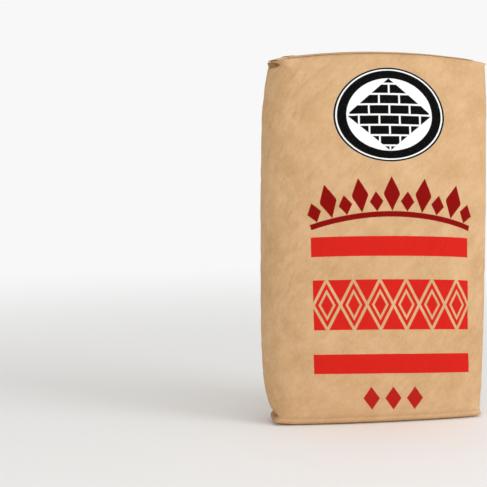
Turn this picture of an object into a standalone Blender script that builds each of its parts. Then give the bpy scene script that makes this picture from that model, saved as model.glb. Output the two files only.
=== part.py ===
"""Filled paper cement sack that stands upright on its folded bottom end.

The sack is a kraft paper tube. Each end is folded into a flat rectangle and closed with a glued
cover patch, and a flat valve sleeve comes out of the fold at one side of the top. The filling
swells the tube between the stiff ends. Metres, +Z up, printed face towards -Y, origin in the
middle of the base.
"""

import functools
import math

import bmesh
import bpy

# Overall sizes of the filled sack
SACK_HEIGHT = 0.640
BELLY_WIDTH = 0.398
BELLY_DEPTH = 0.152

# The folded ends: straight side folds between two long edges that bow outwards
BOTTOM_END_WIDTH = 0.358
TOP_END_WIDTH = 0.366
END_DEPTH = 0.114
SIDE_FOLD_LENGTH = 0.087
SIDE_FOLD_BOW = 0.002
TOP_CROWN_ALONG = 0.015
TOP_CROWN_ACROSS = 0.005

# How far from an end the paper needs to swell out to the belly
BOTTOM_SWELL_WIDTH = 0.070
TOP_SWELL_WIDTH = 0.045
SWELL_DEPTH = 0.075
CORNER_SWELL = 0.060

# Roundness of the belly's section: the exponent of a superellipse, 2 for an ellipse
BELLY_SQUARENESS = 3.1

# Edges of the ends: rounded along the faces, folded sharp along the side panels
FACE_EDGE_RADIUS = 0.009
SIDE_EDGE_RADIUS = 0.002
LIP_PROUD = 0.003
LIP_REACH = 0.006
HOLLOW_DEPTH = 0.003
HOLLOW_DISTANCE = 0.014
HOLLOW_REACH = 0.008

# Glued paper on the ends
PAPER_THICKNESS = 0.0008
GLUE_GAP = 0.0003
COVER_BORDER = 0.004
COVER_SHORTER = 0.018
VALVE_WIDTH = 0.060
VALVE_OUT = 0.001

# Steps of the meshes
STEPS_ACROSS_WIDTH = 22
STEPS_ACROSS_DEPTH = 8
STEPS_UP = 30
COVER_STEPS = (20, 6)
VALVE_STEPS = (3, 4)

# Edges that turn by more degrees than this are shaded sharp
SHARP_ANGLE = 50.0

# Linear colours with roughness
KRAFT = (0.610, 0.385, 0.205, 0.82)
COVER_KRAFT = (0.560, 0.350, 0.185, 0.85)
VALVE_KRAFT = (0.690, 0.470, 0.280, 0.75)

BASE_LEVEL = PAPER_THICKNESS + GLUE_GAP


def clear_scene():
    """Remove every object that is in the scene."""
    for item in list(bpy.data.objects):
        bpy.data.objects.remove(item, do_unlink=True)


def paper(name, finish):
    """A matte paper material from a colour and its roughness."""
    material = bpy.data.materials.new(name)
    material.use_nodes = True
    shader = material.node_tree.nodes["Principled BSDF"]
    shader.inputs["Base Color"].default_value = (*finish[:3], 1.0)
    shader.inputs["Roughness"].default_value = finish[3]
    shader.inputs["Metallic"].default_value = 0.0
    return material


def swelling(belly, bottom, top, bottom_reach, top_reach, height):
    """A size that grows from its value at each end to the belly's, at a height."""
    from_bottom = (belly - bottom) * math.exp(-height / bottom_reach)
    from_top = (belly - top) * math.exp(-(SACK_HEIGHT - height) / top_reach)
    return belly - from_bottom - from_top


def edge_inset(distance, radius):
    """How far a rounded edge lies inside the wall, at a distance from the end."""
    short = max(radius - distance, 0.0)
    return radius - math.sqrt(radius * radius - short * short)


def belly_outline(u, v):
    """The point of the belly's unit outline that a point on the unit square's edge goes to."""
    scale = (abs(u) ** BELLY_SQUARENESS + abs(v) ** BELLY_SQUARENESS) ** (-1 / BELLY_SQUARENESS)
    return u * scale, v * scale


def end_outline(u, v, half_width):
    """The point of an end's unit outline, which has four corners, that a point goes to."""
    side = SIDE_FOLD_BOW / half_width
    face = 1 - SIDE_FOLD_LENGTH / END_DEPTH
    return u * (1 - side * v * v), v * (1 - face * u * u)


def section_point(u, v, height, distance):
    """The x and y of a point on the unit square's edge, in the section at a height."""
    width = swelling(
        BELLY_WIDTH, BOTTOM_END_WIDTH, TOP_END_WIDTH, BOTTOM_SWELL_WIDTH, TOP_SWELL_WIDTH, height
    )
    depth = swelling(BELLY_DEPTH, END_DEPTH, END_DEPTH, SWELL_DEPTH, SWELL_DEPTH, height)
    half_width = width / 2 - edge_inset(distance, SIDE_EDGE_RADIUS)
    half_depth = depth / 2 - edge_inset(distance, FACE_EDGE_RADIUS)
    square = math.exp(-distance / CORNER_SWELL)
    ends = end_outline(u, v, half_width)
    belly = belly_outline(u, v)
    across = belly[0] + (ends[0] - belly[0]) * square
    deep = belly[1] + (ends[1] - belly[1]) * square
    return half_width * across, half_depth * deep


def fold_lip(u, v, distance):
    """How far the fold at the end of a side panel stands out, and the hollow below it."""
    if abs(u) < 1 - 1e-6 or distance <= 0:
        return 0.0
    ridge = LIP_PROUD * math.exp(-((distance / LIP_REACH) ** 2))
    hollow = HOLLOW_DEPTH * math.exp(-(((distance - HOLLOW_DISTANCE) / HOLLOW_REACH) ** 2))
    return math.copysign((1 - v ** 4) * (ridge - hollow), u)


def top_level(x, y):
    """Height of the crowned top end above the base."""
    along = TOP_CROWN_ALONG * (2 * x / TOP_END_WIDTH) ** 2
    across = TOP_CROWN_ACROSS * (2 * y / END_DEPTH) ** 2
    return SACK_HEIGHT - BASE_LEVEL - along - across


def end_point(u, v, top, border=0.0):
    """A point of an end panel, or of a sheet with a border round it, from the unit square."""
    share = max(abs(u), abs(v))
    x = y = 0.0
    if share > 0:
        x, y = section_point(u / share, v / share, SACK_HEIGHT if top else 0.0, 0.0)
        x, y = x * share, y * share
        if border:
            x *= 1 - border / flat_half_width(top)
            y *= 1 - border / (END_DEPTH / 2 - FACE_EDGE_RADIUS)
    return x, y, top_level(x, y) if top else BASE_LEVEL


def wall_point(u, v, share_up):
    """A point of the wall, from its place on the unit square's edge and its share of the height."""
    height = SACK_HEIGHT * (1 - math.cos(math.pi * share_up)) / 2
    distance = min(height, SACK_HEIGHT - height)
    x, y = section_point(u, v, height, distance)
    x += fold_lip(u, v, distance)
    rim = end_point(u, v, top=True)[2]
    return x, y, BASE_LEVEL + (rim - BASE_LEVEL) * height / SACK_HEIGHT


def along_axis(edge, axis):
    """Whether an edge runs along one axis of the box."""
    start, end = (corner.co for corner in edge.verts)
    return all(abs(start[i] - end[i]) < 1e-6 for i in range(3) if i != axis)


def sack_body():
    """The filled sack: a box cut into steps, whose points are moved to the sack's shape."""
    shape = bmesh.new()
    bmesh.ops.create_cube(shape, size=2.0)
    for axis, steps in enumerate((STEPS_ACROSS_WIDTH, STEPS_ACROSS_DEPTH, STEPS_UP)):
        edges = [edge for edge in shape.edges if along_axis(edge, axis)]
        bmesh.ops.subdivide_edges(shape, edges=edges, cuts=steps - 1, use_grid_fill=True)
    for corner in shape.verts:
        u, v, w = corner.co
        if max(abs(u), abs(v)) < 1 - 1e-6:
            corner.co = end_point(u, v, top=w > 0)
        else:
            corner.co = wall_point(u, v, (w + 1) / 2)
    bmesh.ops.recalc_face_normals(shape, faces=shape.faces)
    return shape


def sheet_on_end(steps, place, flat=False):
    """A sheet of paper that faces up: a grid put in place, or one face if the sheet is flat."""
    shape = bmesh.new()
    bmesh.ops.create_grid(shape, x_segments=steps[0], y_segments=steps[1], size=1.0)
    for corner in shape.verts:
        corner.co = place(corner.co.x, corner.co.y)
    if flat:
        bmesh.ops.dissolve_faces(shape, faces=shape.faces)
    return shape


def flat_half_width(top):
    """Half the width of an end between its rounded side folds."""
    return (TOP_END_WIDTH if top else BOTTOM_END_WIDTH) / 2 - SIDE_EDGE_RADIUS


def cover_point(u, v, top):
    """A point of the inner side of a cover patch, which stops short of both side folds."""
    x, y, _ = end_point(u, v, top, border=COVER_BORDER)
    x *= 1 - COVER_SHORTER / (flat_half_width(top) - COVER_BORDER)
    return x, y, top_level(x, y) + GLUE_GAP if top else PAPER_THICKNESS


def valve_point(u, v):
    """A point of the inner side of the valve sleeve, from the cover's end out over the fold."""
    outer = flat_half_width(top=True) + LIP_PROUD + VALVE_OUT
    inner = flat_half_width(top=True) - COVER_BORDER - COVER_SHORTER + GLUE_GAP
    x = -(inner + (outer - inner) * (1 - u) / 2)
    y = VALVE_WIDTH / 2 * v
    return x, y, top_level(x, y) + GLUE_GAP


def add_object(name, shape, material, collection):
    """An object of the collection from a finished bmesh."""
    mesh = bpy.data.meshes.new(name)
    shape.to_mesh(mesh)
    shape.free()
    mesh.materials.append(material)
    mesh.shade_smooth()
    mesh.set_sharp_from_angle(angle=math.radians(SHARP_ANGLE))
    item = bpy.data.objects.new(name, mesh)
    collection.objects.link(item)
    return item


def thicken(item, upwards):
    """Give a sheet of paper its thickness, above it or below it."""
    wall = item.modifiers.new("paper", "SOLIDIFY")
    wall.thickness = PAPER_THICKNESS
    wall.offset = 1.0 if upwards else -1.0
    wall.use_even_offset = True


def main():
    clear_scene()
    collection = bpy.data.collections.new("cement_bag")
    bpy.context.scene.collection.children.link(collection)
    add_object("sack_body", sack_body(), paper("kraft_paper", KRAFT), collection)
    cover_paper = paper("cover_paper", COVER_KRAFT)
    for name, top in (("bottom_cover_patch", False), ("top_cover_patch", True)):
        place = functools.partial(cover_point, top=top)
        sheet = sheet_on_end(COVER_STEPS, place, flat=not top)
        patch = add_object(name, sheet, cover_paper, collection)
        thicken(patch, upwards=top)
    sheet = sheet_on_end(VALVE_STEPS, valve_point)
    sleeve = add_object("valve_sleeve", sheet, paper("valve_paper", VALVE_KRAFT), collection)
    thicken(sleeve, upwards=True)


main()
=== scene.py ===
"""The looks of a filled paper cement sack that stands on its folded bottom end.

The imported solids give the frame: the sack's place, its patches and its valve. This script swaps
the plain sack for a finely made one of crumpled kraft paper with its printed face, lays the glued
patches and the valve sleeve on it, and sets up a pale studio. Metres, +Z up, printed face towards
-Y.
"""

import logging
import math
from dataclasses import asdict, astuple, dataclass, field
from enum import Enum

import bmesh
import bpy
import numpy as np
from mathutils import Euler, Matrix, Vector
from mathutils.bvhtree import BVHTree

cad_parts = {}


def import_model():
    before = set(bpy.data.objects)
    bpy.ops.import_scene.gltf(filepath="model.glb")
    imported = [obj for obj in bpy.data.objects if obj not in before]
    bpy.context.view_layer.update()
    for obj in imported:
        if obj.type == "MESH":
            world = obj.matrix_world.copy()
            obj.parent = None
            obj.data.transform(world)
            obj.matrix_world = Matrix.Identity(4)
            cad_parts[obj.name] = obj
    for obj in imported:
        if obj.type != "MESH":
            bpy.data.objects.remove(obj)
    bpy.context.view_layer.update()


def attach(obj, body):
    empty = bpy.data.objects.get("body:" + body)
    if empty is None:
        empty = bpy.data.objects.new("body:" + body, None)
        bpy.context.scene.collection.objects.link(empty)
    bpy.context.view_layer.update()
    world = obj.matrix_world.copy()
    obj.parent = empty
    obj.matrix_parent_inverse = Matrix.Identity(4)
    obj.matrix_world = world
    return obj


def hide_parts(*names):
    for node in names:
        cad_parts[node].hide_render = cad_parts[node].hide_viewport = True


log = logging.getLogger("cement_bag")

Array = np.ndarray
Number = float | np.ndarray
Pair = tuple[float, float]
Triple = tuple[float, float, float]
Ends = Pair | Array
Item = bpy.types.Object
Mesh = bpy.types.Mesh
Socket = bpy.types.NodeSocket
Tree = bpy.types.NodeTree

# Places on the unit box that differ by less are the same, and those from EDGE on lie on its edge
TOLERANCE = 1e-6
EDGE = 1 - TOLERANCE

# Levels well over and under the sack, from which papers are laid on it
ABOVE = 0.8
BELOW = -0.1

# Edges of papers that turn by more degrees are shaded sharp
SHARP_DEGREES = 40

# Points of a laid paper that lie closer together are made one, in metres
WELD = 0.00001


def smooth_step(low: float, high: float, values: Array) -> Array:
    """A smooth rise from 0 at low to 1 at high."""
    share = np.clip((values - low) / (high - low), 0.0, 1.0)
    return share * share * (3 - 2 * share)


class End(Enum):
    """The two folded ends of the sack, by the places of their values in a pair."""

    BOTTOM = 0
    TOP = 1


@dataclass(frozen=True)
class EndFolds:
    """How the paper lies at the bottom and at the top end of the sack, in metres and shares.

    Each side panel is folded in under the end. A lip stands out along that fold, and next to it
    a pocket opens from behind the front corner. Painted shade darkens the pocket and the lid over
    it.
    """

    # The width between the side folds, and how far from the end the paper swells out
    width: Ends = (0.375, 0.382)
    swell: Ends = (0.070, 0.045)
    corner_swell: Ends = (0.026, 0.014)
    right_corner_swell: Ends = (0.026, 0.015)
    # The lip: its spread broadens it behind the front corner, and its loss lowers it at the rear
    lip_proud: Ends = (0.0074, 0.0038)
    lip_reach: Ends = (0.0125, 0.0040)
    lip_power: Ends = (4.0, 2.0)
    lip_spread: Ends = (0.0, 0.0050)
    lip_loss: Ends = (0.8, 0.2)
    right_lip: Ends = (0.0, 0.05)
    # The pocket: its tilt is the share of its distance from the end that it has at the front
    pocket_depth: Ends = (0.0110, 0.0160)
    pocket_distance: Ends = (0.0135, 0.0085)
    pocket_tilt: Ends = (0.80, 0.15)
    pocket_reach: Ends = (0.0032, 0.0042)
    pocket_start: Ends = (-0.80, -1.00)
    pocket_open: Ends = (0.40, 0.80)
    pocket_floor: Ends = (0.28, 0.10)
    # Painted shade that darkens the paper on the lid over the pocket
    lid_shade: Ends = (0.65, 0.90)
    # How far the rear left goes in, and how far the end leans to the right
    slant: Ends = (0.014, 0.006)
    slant_reach: Ends = (0.040, 0.050)
    slant_power: Ends = (2.0, 1.0)
    shift: Ends = (0.0055, 0.003)
    shift_reach: Ends = (0.050, 0.070)


@dataclass(frozen=True)
class SackForm:
    """The outer form of the filled sack, which swells between two stiff folded ends.

    Sizes are in metres. Places on it are given on a unit box: u across, v deep and w up, each
    from -1 to 1. A pair of numbers says where a change starts and ends, or is for the left and
    the right side where its comment says so.
    """

    height: float = 0.640
    base_level: float = 0.0011
    belly_width: float = 0.396
    belly_depth: float = 0.152
    belly_squareness: float = 3.1
    belly_shift: float = -0.0012
    end_depth: Pair = (0.114, 0.114)
    depth_swell: Pair = (0.075, 0.075)
    side_fold_length: float = 0.087
    side_fold_bow: float = 0.002
    face_edge_radius: float = 0.009
    side_edge_radius: Pair = (0.002, 0.0045)  # left, right
    # The upper left is rounder, and the top is crowned, leans and drops at its ears
    top_roundness: float = 0.9
    top_roundness_reach: float = 0.050
    top_roundness_across: Pair = (-0.5, 0.5)
    crown_along: float = 0.015
    crown_across: float = 0.005
    top_drop: float = 0.0028
    top_lean: float = 0.0016
    ear_drop: Pair = (0.0052, 0.0030)  # left, right
    ear_reach: float = 0.0060
    # The lip and the pocket of the side folds, from the front to the rear
    lip_widening: Pair = (-0.8, 0.0)
    lip_fading: Pair = (-0.2, 1.0)
    pocket_front: float = 0.45
    pocket_rising: Pair = (-0.6, 0.1)
    pocket_closing: Pair = (0.2, 1.0)
    pocket_power: int = 4
    right_pocket: float = 0.25
    # Painted shade, darkening the paper in the pockets, on the lids and at the upper left corner
    right_pocket_shade: float = 0.55
    lid_edge: Pair = (0.4, 1.0)
    lid_front: Pair = (-1.0, -0.6)
    lid_rear: Pair = (0.4, 0.9)
    lid_rear_loss: float = 0.5
    corner_across: Pair = (0.94, 0.98)
    corner_down: Pair = (0.002, 0.006)
    corner_shade: float = 0.7
    # The glued band round the base, with a groove along its upper edge
    band_height: float = 0.0125
    band_proud: float = 0.0010
    band_step: float = 0.003
    band_groove: float = 0.0016
    groove_reach: float = 0.0022
    # Painted shade, darkening the paper along the groove
    groove_shade: float = 0.40
    groove_shade_reach: float = 0.0020
    # The base rises from the floor towards its side folds
    base_flat_to: float = 0.158
    base_lift: float = 0.0035
    base_lift_power: float = 1.5
    base_lift_reach: float = 0.02
    even_rows: float = 0.15
    ends: EndFolds = EndFolds()

    def near(self, height: Array) -> EndFolds:
        """The values of the end that each height is nearer to."""
        low = height < self.height / 2
        return EndFolds(*(np.where(low, *pair) for pair in astuple(self.ends)))

    def from_end(self, height: Array) -> Array:
        """The distances of heights from the nearer end."""
        return np.minimum(height, self.height - height)

    def rise(self, w: Array) -> Array:
        """Heights of rows that lie closer together towards both ends."""
        share, even = (w + 1) / 2, self.even_rows
        return self.height * (even * share + (1 - even) * (1 - np.cos(math.pi * share)) / 2)

    def zones(self, box: Array) -> tuple[Array, Array]:
        """How far each point lies from the nearer end, and whether it lies on the wall."""
        return self.from_end(self.rise(box[:, 2])), np.abs(box[:, :2]).max(axis=1) > EDGE

    @staticmethod
    def inset(distance: Array, radius: Number) -> Array:
        """How far a rounded edge lies inside the wall, at distances from the end."""
        short = np.maximum(radius - distance, 0.0)
        return radius - np.sqrt(radius * radius - short * short)

    @staticmethod
    def rounding(u: Array, v: Array, power: Number) -> Array:
        """The share by which points on the unit square's edge come in to a superellipse."""
        return (np.abs(u) ** power + np.abs(v) ** power) ** (-1 / power)

    def half_size(self, belly: float, ends: Pair, reach: Pair, height: Array) -> Array:
        """Half a size of the section, which grows from the ends towards the belly.

        Args:
            belly: The size at the belly.
            ends: The sizes at the bottom and the top end.
            reach: How far from the bottom and the top end the paper swells out.
            height: Heights above the base.

        Returns:
            Half the size at each height.
        """
        from_bottom = (belly - ends[0]) * np.exp(-height / reach[0])
        from_top = (belly - ends[1]) * np.exp(-(self.height - height) / reach[1])
        return (belly - from_bottom - from_top) / 2

    def section(self, u: Array, v: Array, height: Array) -> tuple[Array, Array]:
        """Where points on the unit square's edge lie in the sections at their heights.

        Args:
            u: Places across.
            v: Places deep.
            height: Heights above the base.

        Returns:
            The x and the y of each point.
        """
        near, distance = self.near(height), self.from_end(height)
        half_width = self.half_size(self.belly_width, self.ends.width, self.ends.swell, height)
        half_width = half_width - self.inset(distance, np.where(u < 0, *self.side_edge_radius))
        half_depth = self.half_size(self.belly_depth, self.end_depth, self.depth_swell, height)
        half_depth = half_depth - self.inset(distance, self.face_edge_radius)
        right = smooth_step(*self.top_roundness_across, u)
        rounder = self.top_roundness * np.exp(-(self.height - height) / self.top_roundness_reach)
        round_in = self.rounding(u, v, self.belly_squareness - rounder * (1 - right))
        bow = self.side_fold_bow / half_width
        barrel = 1 - self.side_fold_length / self.end_depth[0]
        swell = near.corner_swell + (near.right_corner_swell - near.corner_swell) * right
        square = np.exp(-distance / swell)
        across = u * (round_in + (1 - bow * v * v - round_in) * square)
        deep = v * (round_in + (1 - barrel * u * u - round_in) * square)
        return half_width * across, half_depth * deep

    def pocket(self, v: Array, height: Array) -> tuple[Array, Array]:
        """The pocket along a side panel's folded end.

        Args:
            v: Places deep on the side panel.
            height: Heights above the base.

        Returns:
            How far it goes in, as a share of its depth, and how many of its half heights the
            points lie past its middle.
        """
        near, behind = self.near(height), np.clip(v + 1, 0.0, 1.0)
        middle = near.pocket_distance * (near.pocket_tilt + (1 - near.pocket_tilt) * behind)
        reach = near.pocket_reach * (self.pocket_front + (1 - self.pocket_front) * behind)
        past = (self.from_end(height) - middle) / reach
        opened = smooth_step(0.0, 1.0, (v - near.pocket_start) / near.pocket_open)
        opened = opened * (1 - smooth_step(*self.pocket_closing, v))
        opened = opened * (1 - (1 - near.pocket_floor) * smooth_step(*self.pocket_rising, v))
        return opened * np.exp(-(past ** self.pocket_power)), past

    def fold_lip(self, u: Array, v: Array, height: Array) -> Array:
        """How far the fold at the end of a side panel stands out, and the pocket next to it.

        Args:
            u: Places across.
            v: Places deep.
            height: Heights above the base.

        Returns:
            The way out from the side panel, along x.
        """
        near, distance = self.near(height), self.from_end(height)
        reach = near.lip_reach + near.lip_spread * smooth_step(*self.lip_widening, v)
        kept = 1 - near.lip_loss * smooth_step(*self.lip_fading, v)
        ridge = near.lip_proud * kept * np.exp(-((distance / reach) ** near.lip_power))
        ridge = ridge * np.where(u > 0, near.right_lip, 1.0)
        pocket = near.pocket_depth * self.pocket(v, height)[0]
        pocket = pocket * np.where(u > 0, self.right_pocket, 1.0)
        on_side = (np.abs(u) > EDGE) & (distance > 0)
        return np.where(on_side, np.sign(u) * (ridge - pocket), 0.0)

    def shade(self, box: Array) -> Array:
        """How much painted shade darkens the paper in pockets, on lids, in the groove and a corner.

        Args:
            box: Points of the unit box, one to a row.

        Returns:
            A number from 0 to 1 for each point.
        """
        u, v, w = box.T
        height, on_wall = self.rise(w), np.abs(w) < EDGE
        pocket, past = self.pocket(v, height)
        # Painted shade in the pockets, less of it on the right
        pocket = np.sqrt(pocket) * np.where(u > 0, self.right_pocket_shade, 1.0)
        # Painted shade on the lids over the left pockets
        lid = (1 - smooth_step(*self.lid_edge, past)) * smooth_step(*self.lid_front, v)
        lid = lid * (1 - self.lid_rear_loss * smooth_step(*self.lid_rear, v))
        lid = np.where(u < 0, self.near(height).lid_shade * lid, 0.0)
        # Painted shade along the band's groove and at the front's upper left corner
        groove = np.exp(-(((height - self.band_height) / self.groove_shade_reach) ** 2))
        corner = smooth_step(*self.corner_across, -u) * (v < 0)
        corner = corner * (1 - smooth_step(*self.corner_down, self.height - height))
        face = np.maximum(self.groove_shade * groove, self.corner_shade * corner)
        on_side = np.where((np.abs(u) > EDGE) & on_wall, np.maximum(pocket, lid), 0.0)
        return np.maximum(on_side, np.where((np.abs(v) > EDGE) & on_wall, face, 0.0))

    def top_level(self, x: Array, y: Array) -> Array:
        """The height of the crowned top end.

        Args:
            x: Places across, in metres.
            y: Places deep, in metres.

        Returns:
            Heights above the base.
        """
        width, depth = self.ends.width[1], self.end_depth[1]
        along = self.crown_along * (2 * x / width) ** 2
        across = self.crown_across * (2 * y / depth) ** 2
        lean = self.top_drop + self.top_lean * 2 * x / width
        from_fold = np.maximum(width / 2 - np.abs(x), 0.0)
        drop = np.where(x < 0, *self.ear_drop) * np.exp(-from_fold / self.ear_reach)
        return self.height - self.base_level - along - across - lean - drop

    def shift(self, height: Number) -> Number:
        """How far to the right the sack leans at each height."""
        ways = zip(self.ends.shift, self.ends.shift_reach, (height, self.height - height))
        return self.belly_shift + sum(shift * np.exp(-way / reach) for shift, reach, way in ways)

    def band(self, height: Array) -> Array:
        """How far the glued band round the base stands out, less its groove."""
        over = height - self.band_height
        return (self.band_proud * (1 - smooth_step(0.0, self.band_step, over))
                - self.band_groove * np.exp(-((over / self.groove_reach) ** 2)))

    def place(self, box: Array) -> Array:
        """The points of the sack that points of the unit box go to.

        Args:
            box: Points of the unit box, one to a row.

        Returns:
            Points in metres, one to a row.
        """
        u, v, w = box.T
        share = np.maximum(np.abs(u), np.abs(v))
        wall = share > EDGE
        safe = np.where(share > 0, share, 1.0)
        edge_u, edge_v = u / safe, np.where(share > 0, v / safe, 1.0)
        height = np.where(wall, self.rise(w), np.where(w > 0, self.height, 0.0))
        near, distance = self.near(height), self.from_end(height)
        x, y = (side * share for side in self.section(edge_u, edge_v, height))
        x = x + np.where(wall, self.fold_lip(u, v, height), 0.0)
        y = y + np.where(wall & (distance > 0), np.trunc(edge_v) * self.band(height), 0.0)
        rim_x, rim_y = self.section(edge_u, edge_v, np.full_like(height, self.height))
        rim = self.top_level(rim_x * share, rim_y * share)
        beyond = np.maximum(np.abs(x) - self.base_flat_to, 0.0)
        span = self.ends.width[0] / 2 - self.base_flat_to
        lift = self.base_lift * (beyond / span) ** self.base_lift_power
        base = self.base_level + lift * np.exp(-height / self.base_lift_reach)
        z = base + (rim - self.base_level) * height / self.height
        slant = near.slant * np.exp(-(distance / near.slant_reach) ** near.slant_power)
        x = x + self.shift(height) + slant * (v + 1) / 2 * np.maximum(-u, 0.0)
        return np.column_stack((x, y, z))


def assign(target: object, **values: object) -> None:
    """Set properties of a thing."""
    for name, value in values.items():
        setattr(target, name, value)


def read_points(mesh: Mesh) -> Array:
    """The points of a mesh, one to a row."""
    return np.array([point.co[:] for point in mesh.vertices])


def write_points(mesh: Mesh, points: Array) -> None:
    """Move the points of a mesh."""
    mesh.vertices.foreach_set("co", points.astype(np.float32).ravel())
    mesh.update()


def store_number(mesh: Mesh, name: str, values: Array) -> None:
    """Keep a number for each point of a mesh as a named attribute."""
    layer = mesh.attributes.new(name, "FLOAT", "POINT")
    layer.data.foreach_set("value", values.astype(np.float32))


def weigh(item: Item, name: str, weights: Array) -> str:
    """Put every point of an object in a new vertex group.

    Args:
        item: The object.
        name: The group's name.
        weights: The weight of each point.

    Returns:
        The group's name.
    """
    group = item.vertex_groups.new(name=name)
    for index, weight in enumerate(weights):
        group.add([index], float(weight), "REPLACE")
    return group.name


def add_object(name: str, data: bpy.types.ID) -> Item:
    """Put an object in the scene.

    Args:
        name: The object's name.
        data: Its mesh, lamp or lens.

    Returns:
        The object.
    """
    item = bpy.data.objects.new(name, data)
    bpy.context.scene.collection.objects.link(item)
    return item


def add_shape(name: str, shape: bmesh.types.BMesh) -> Item:
    """Put a finished shape in the scene.

    Args:
        name: The name of the object and its mesh.
        shape: The shape, which isn't used any more.

    Returns:
        The object.
    """
    mesh = bpy.data.meshes.new(name)
    shape.to_mesh(mesh)
    shape.free()
    return add_object(name, mesh)


def shade_paper(mesh: Mesh) -> None:
    """Shade a folded paper smooth, but for its sharp edges."""
    mesh.shade_smooth()
    mesh.set_sharp_from_angle(angle=math.radians(SHARP_DEGREES))


def settle(item: Item) -> None:
    """Turn what an object's modifiers make into its plain mesh, and remove them.

    Args:
        item: The object.
    """
    made = item.evaluated_get(bpy.context.evaluated_depsgraph_get())
    mesh = bpy.data.meshes.new_from_object(made)
    item.modifiers.clear()
    item.data = mesh


def join_into(item: Item, others: list[Item]) -> None:
    """Make other objects' meshes part of one object's mesh."""
    with bpy.context.temp_override(active_object=item, object=item,
                                   selected_editable_objects=[item, *others]):
        bpy.ops.object.join()


def run_tree(item: Item, tree: Tree, sizes: dict) -> None:
    """Run a geometry tree on an object with its inputs set, and keep the plain mesh.

    Args:
        item: The object.
        tree: The tree.
        sizes: Values by the names of inputs, in lower case with underscores.
    """
    maker = item.modifiers.new(tree.name, "NODES")
    maker.node_group = tree
    for socket in tree.interface.items_tree:
        name = socket.name.lower().replace(" ", "_")
        if socket.in_out == "INPUT" and name in sizes:
            maker[socket.identifier] = sizes[name]
    settle(item)


@dataclass(frozen=True)
class Signal:
    """A number that a node tree works out, which plain arithmetic extends."""

    socket: Socket

    def math(self, operation: str, *others: "Signal | float") -> "Signal":
        """The number that a Math node's operation makes of this one and others."""
        feeds = dict(enumerate((self, *others)))
        return Signal(Wiring(self.socket.id_data).out("ShaderNodeMath", feeds, operation=operation))

    def __add__(self, other: "Signal | float") -> "Signal":
        """The sum of two numbers."""
        return self.math("ADD", other)

    def __sub__(self, other: "Signal | float") -> "Signal":
        """The difference of two numbers."""
        return self.math("SUBTRACT", other)

    def __mul__(self, other: "Signal | float") -> "Signal":
        """The product of two numbers."""
        return self.math("MULTIPLY", other)

    def size(self) -> "Signal":
        """The number without its sign."""
        return self.math("ABSOLUTE")

    def most(self, other: "Signal | float") -> "Signal":
        """The greater of two numbers."""
        return self.math("MAXIMUM", other)

    def least(self, other: "Signal | float") -> "Signal":
        """The smaller of two numbers."""
        return self.math("MINIMUM", other)

    def ramp(self, low: float, high: float, to_low: float = 0.0, to_high: float = 1.0) -> "Signal":
        """A smooth change from to_low, where the number is low, to to_high, where it is high."""
        feeds = {"Value": self, "From Min": low, "From Max": high, "To Min": to_low,
                 "To Max": to_high}
        return Signal(Wiring(self.socket.id_data).out("ShaderNodeMapRange", feeds,
                                                      interpolation_type="SMOOTHSTEP"))


@dataclass(frozen=True)
class Wiring:
    """Short calls that add nodes to a tree and wire them."""

    tree: Tree

    @staticmethod
    def begin(name: str, inputs: dict[str, tuple[str, ...]]) -> "Wiring":
        """The wiring of a new geometry tree.

        Args:
            name: The tree's name.
            inputs: The names of its inputs, by their kind.

        Returns:
            The wiring.
        """
        tree = bpy.data.node_groups.new(name, "GeometryNodeTree")
        for kind, names in inputs.items():
            for socket in names:
                tree.interface.new_socket(socket, in_out="INPUT", socket_type=f"NodeSocket{kind}")
        tree.interface.new_socket("Made", in_out="OUTPUT", socket_type="NodeSocketGeometry")
        return Wiring(tree)

    def end(self, geometry: Socket, finish: Socket) -> Tree:
        """Close a geometry tree, so that it gives real geometry with its material.

        Args:
            geometry: What the tree has made.
            finish: The material.

        Returns:
            The tree.
        """
        real = self.out("GeometryNodeRealizeInstances", {0: geometry})
        done = self.out("GeometryNodeSetMaterial", {"Geometry": real, "Material": finish})
        self.add("NodeGroupOutput", {0: done})
        return self.tree

    def feed(self, node: bpy.types.Node, feeds: dict) -> None:
        """Wire or set inputs of a node.

        Args:
            node: The node.
            feeds: A socket, signal or constant for each input, by its name or number.
        """
        for key, value in feeds.items():
            source = value.socket if isinstance(value, Signal) else value
            if isinstance(source, Socket):
                self.tree.links.new(source, node.inputs[key])
            else:
                node.inputs[key].default_value = source

    def add(self, kind: str, feeds: dict | None = None, **settings: object) -> bpy.types.Node:
        """A new node.

        Args:
            kind: The node's type.
            feeds: What its inputs get, by their names or numbers.
            settings: Its own properties.

        Returns:
            The node.
        """
        node = self.tree.nodes.new(kind)
        assign(node, **settings)
        self.feed(node, feeds or {})
        return node

    def out(self, kind: str, feeds: dict | None = None, **settings: object) -> Socket:
        """The first output of a new node."""
        return self.add(kind, feeds, **settings).outputs[0]

    def vector(self, operation: str, *feeds: object, **named: object) -> Socket:
        """The vector that a Vector Math node's operation makes of its inputs."""
        return self.out("ShaderNodeVectorMath", {**dict(enumerate(feeds)), **named},
                        operation=operation)

    def combine(self, kind: str, *parts: Signal | float) -> Socket:
        """A vector from its X, Y and Z, or a colour from its channels."""
        return self.out(f"ShaderNodeCombine{kind}", dict(enumerate(parts)))

    def store(self, geometry: Socket, name: str, value: Signal) -> Socket:
        """Geometry that keeps a number for each point as a named attribute."""
        feeds = {"Geometry": geometry, "Name": name, "Value": value}
        return self.out("GeometryNodeStoreNamedAttribute", feeds, data_type="FLOAT",
                        domain="POINT")

    def stored(self, name: str) -> Signal:
        """The numbers of a named attribute, in a geometry tree."""
        return Signal(self.out("GeometryNodeInputNamedAttribute", {"Name": name},
                               data_type="FLOAT"))

    def place(self) -> Socket:
        """The coordinates of a material's object, in metres."""
        return self.add("ShaderNodeTexCoord").outputs["Object"]


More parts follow.
